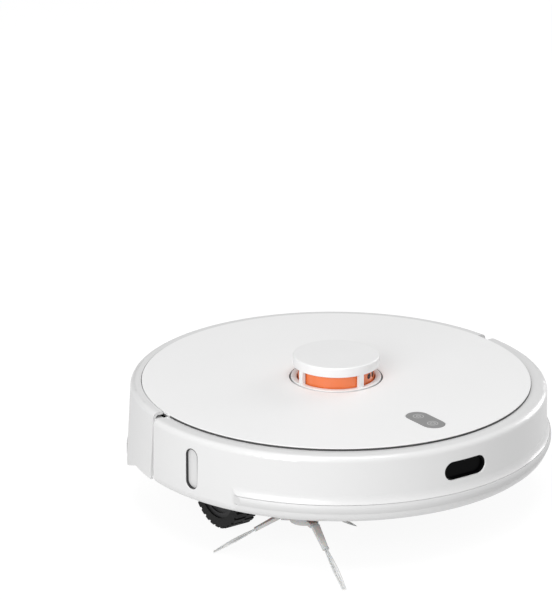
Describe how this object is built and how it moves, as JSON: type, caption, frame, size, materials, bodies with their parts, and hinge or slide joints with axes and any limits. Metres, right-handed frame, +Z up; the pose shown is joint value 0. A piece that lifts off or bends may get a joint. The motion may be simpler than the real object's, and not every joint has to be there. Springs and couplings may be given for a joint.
{
  "type": "robot vacuum cleaner",
  "caption": "Low round robot vacuum with a raised laser turret, front half bumper, sprung drive wheels, swivel caster, side brush, roller brush, rear dust bin and water tank",
  "frame": {"origin": "centre of the round body, on the plane that the hanging drive wheels touch", "axes": "+Z up, front (bumper, window) towards -Y, dust bin towards +Y, the robot's own left towards +X"},
  "size_m": [0.3512, 0.3538, 0.1218],
  "materials": {
    "shell_white": "glossy white moulded ABS",
    "lid_white": "satin white lid",
    "strip_white": "soft pale bumper strip",
    "window_black": "infrared-clear black window",
    "sensor_milky": "milky sensor window",
    "button_grey": "grey satin button",
    "rotor_orange": "orange-red infrared filter",
    "lens_black": "dark lens",
    "chassis_black": "textured black ABS",
    "frame_grey": "dark grey moulded plastic",
    "tyre_black": "black rubber lugs",
    "motor_steel": "zinc-plated can",
    "spring_steel": "spring wire",
    "screw_steel": "black zinc screw",
    "contact_nickel": "nickel contact strip",
    "belt_rubber": "drive belt",
    "pulley_white": "acetal pulley",
    "battery_blue": "shrink-wrapped cells",
    "board_green": "circuit board",
    "brush_rubber": "grey flexible brush arm",
    "bristle_pale": "pale nylon bristle",
    "fin_orange": "flexible roller blades",
    "lid_clear": "smoked bin lid",
    "filter_white": "pleated filter paper",
    "plug_rubber": "rubber fill plug",
    "impeller_grey": "fan wheel"
  },
  "bodies": {
    "chassis": {"lower_chassis": "chassis_black", "rear_shell": "shell_white", "top_plate": "lid_white", "upper_deck": "frame_grey", "brush_chamber": "frame_grey", "main_brush_motor": "motor_steel", "main_brush_belt": "belt_rubber", "battery_pack": "battery_blue", "battery_cover": "chassis_black", "main_board": "board_green", "lidar_base": "frame_grey", "lidar_motor": "motor_steel", "lidar_belt": "belt_rubber", "side_brush_gearbox": "chassis_black", "caster_socket": "chassis_black", "charge_contacts": "contact_nickel", "cliff_sensor_lenses": "lens_black", "chassis_screws": "screw_steel", "fan_housing": "frame_grey", "left_wheel_well": "chassis_black", "right_wheel_well": "chassis_black", "left_suspension_spring": "spring_steel", "right_suspension_spring": "spring_steel"},
    "bumper": {"bumper_shell": "shell_white", "bumper_strip": "strip_white", "front_ir_window": "window_black", "wall_sensor_window": "sensor_milky"},
    "turret_cap": {"lidar_cap": "shell_white"},
    "turret_rotor": {"lidar_rotor": "rotor_orange", "lidar_lenses": "lens_black"},
    "turret_motor_pulley": {"lidar_pulley": "pulley_white"},
    "button": {"control_button": "button_grey"},
    "left_suspension": {"left_wheel_arm": "frame_grey", "left_wheel_motor": "motor_steel"},
    "left_wheel": {"left_wheel_hub": "frame_grey", "left_tyre": "tyre_black"},
    "right_suspension": {"right_wheel_arm": "frame_grey", "right_wheel_motor": "motor_steel"},
    "right_wheel": {"right_wheel_hub": "frame_grey", "right_tyre": "tyre_black"},
    "caster_swivel": {"caster_fork": "chassis_black"},
    "caster_roller": {"caster_wheel": "tyre_black"},
    "side_brush": {"side_brush_hub": "brush_rubber"},
    "brush_arm_1": {"side_brush_arm_1": "brush_rubber", "side_brush_bristles_1": "bristle_pale"},
    "brush_arm_2": {"side_brush_arm_2": "brush_rubber", "side_brush_bristles_2": "bristle_pale"},
    "brush_arm_3": {"side_brush_arm_3": "brush_rubber", "side_brush_bristles_3": "bristle_pale"},
    "main_brush": {"main_brush_core": "chassis_black", "main_brush_bristles": "fin_orange"},
    "brush_drive": {"drive_pulley": "pulley_white"},
    "guard": {"brush_guard": "frame_grey"},
    "dustbin": {"dustbin_body": "shell_white", "dustbin_lid": "lid_clear", "dustbin_filter": "filter_white"},
    "bin_latch": {"dustbin_latch": "shell_white"},
    "tank": {"water_tank": "shell_white", "tank_plug": "plug_rubber"},
    "fan": {"fan_impeller": "impeller_grey"}
  },
  "joints": [
    {"name": "bumper_press", "type": "slide", "parent": "chassis", "child": "bumper", "axis": [0, 1, 0], "range_m": [0, 0.0035], "stiffness_N_per_m": 450, "springref_m": -0.002},
    {"name": "turret_press", "type": "slide", "parent": "chassis", "child": "turret_cap", "axis": [0, 0, -1], "range_m": [0, 0.0012], "stiffness_N_per_m": 1500, "springref_m": -0.001},
    {"name": "turret_spin", "type": "hinge", "parent": "chassis", "child": "turret_rotor", "pos_m": [0, 0, 0.09], "axis": [0, 0, 1], "continuous": true},
    {"name": "turret_motor_spin", "type": "hinge", "parent": "chassis", "child": "turret_motor_pulley", "pos_m": [-0.045, 0, 0.084], "axis": [0, 0, 1], "continuous": true},
    {"name": "button_rock", "type": "hinge", "parent": "chassis", "child": "button", "pos_m": [0, -0.122, 0.0985], "axis": [1, 0, 0], "range_deg": [-2.5, 2.5], "stiffness_Nm_per_rad": 0.4},
    {"name": "left_suspension_swing", "type": "hinge", "parent": "chassis", "child": "left_suspension", "pos_m": [0.0935, -0.061, 0.055], "axis": [1, 0, 0], "range_deg": [0, 25.3], "stiffness_Nm_per_rad": 0.45, "springref_deg": -42.97, "deforming": ["left_suspension_spring"]},
    {"name": "left_wheel_roll", "type": "hinge", "parent": "left_suspension", "child": "left_wheel", "pos_m": [0.115, -0.007, 0.035], "axis": [1, 0, 0], "continuous": true},
    {"name": "right_suspension_swing", "type": "hinge", "parent": "chassis", "child": "right_suspension", "pos_m": [-0.0935, -0.061, 0.055], "axis": [1, 0, 0], "range_deg": [0, 25.3], "stiffness_Nm_per_rad": 0.45, "springref_deg": -42.97, "deforming": ["right_suspension_spring"]},
    {"name": "right_wheel_roll", "type": "hinge", "parent": "right_suspension", "child": "right_wheel", "pos_m": [-0.115, -0.007, 0.035], "axis": [1, 0, 0], "continuous": true},
    {"name": "caster_swivel_turn", "type": "hinge", "parent": "chassis", "child": "caster_swivel", "pos_m": [0, -0.128, 0.05], "axis": [0, 0, 1], "continuous": true},
    {"name": "caster_wheel_roll", "type": "hinge", "parent": "caster_swivel", "child": "caster_roller", "pos_m": [0, -0.1225, 0.036], "axis": [1, 0, 0], "continuous": true},
    {"name": "side_brush_spin", "type": "hinge", "parent": "chassis", "child": "side_brush", "pos_m": [-0.101, -0.0987, 0.037], "axis": [0, 0, 1], "continuous": true},
    {"name": "brush_arm_1_flex", "type": "hinge", "parent": "side_brush", "child": "brush_arm_1", "pos_m": [-0.10437, -0.11841, 0.0345], "axis": [-0.9857, 0.1685, 0], "range_deg": [0, 32], "stiffness_Nm_per_rad": 0.012},
    {"name": "brush_arm_2_flex", "type": "hinge", "parent": "side_brush", "child": "brush_arm_2", "pos_m": [-0.08224, -0.09176, 0.0345], "axis": [0.3469, -0.9379, 0], "range_deg": [0, 32], "stiffness_Nm_per_rad": 0.012},
    {"name": "brush_arm_3_flex", "type": "hinge", "parent": "side_brush", "child": "brush_arm_3", "pos_m": [-0.11639, -0.08593, 0.0345], "axis": [0.6388, 0.7694, 0], "range_deg": [0, 32], "stiffness_Nm_per_rad": 0.012},
    {"name": "main_brush_spin", "type": "hinge", "parent": "chassis", "child": "main_brush", "pos_m": [0, 0.057, 0.045], "axis": [1, 0, 0], "continuous": true},
    {"name": "brush_motor_spin", "type": "hinge", "parent": "chassis", "child": "brush_drive", "pos_m": [0.0886, 0.043, 0.0825], "axis": [1, 0, 0], "continuous": true},
    {"name": "brush_guard_lift", "type": "slide", "parent": "chassis", "child": "guard", "axis": [0, 0, -1], "range_m": [0, 0.012]},
    {"name": "dustbin_pull", "type": "slide", "parent": "chassis", "child": "dustbin", "axis": [0, 1, 0], "range_m": [0, 0.095]},
    {"name": "bin_latch_press", "type": "slide", "parent": "dustbin", "child": "bin_latch", "axis": [0, -1, 0], "range_m": [0, 0.003], "stiffness_N_per_m": 600, "springref_m": -0.001},
    {"name": "tank_pull", "type": "slide", "parent": "chassis", "child": "tank", "axis": [0, 1, 0], "range_m": [0, 0.06]},
    {"name": "fan_spin", "type": "hinge", "parent": "chassis", "child": "fan", "pos_m": [0.108, 0.09, 0.07], "axis": [0, 0, 1], "continuous": true}
  ],
  "couplings": [
    {"joint": "turret_motor_spin", "follows": "turret_spin", "ratio": 8},
    {"joint": "brush_motor_spin", "follows": "main_brush_spin", "ratio": 1.8}
  ]
}
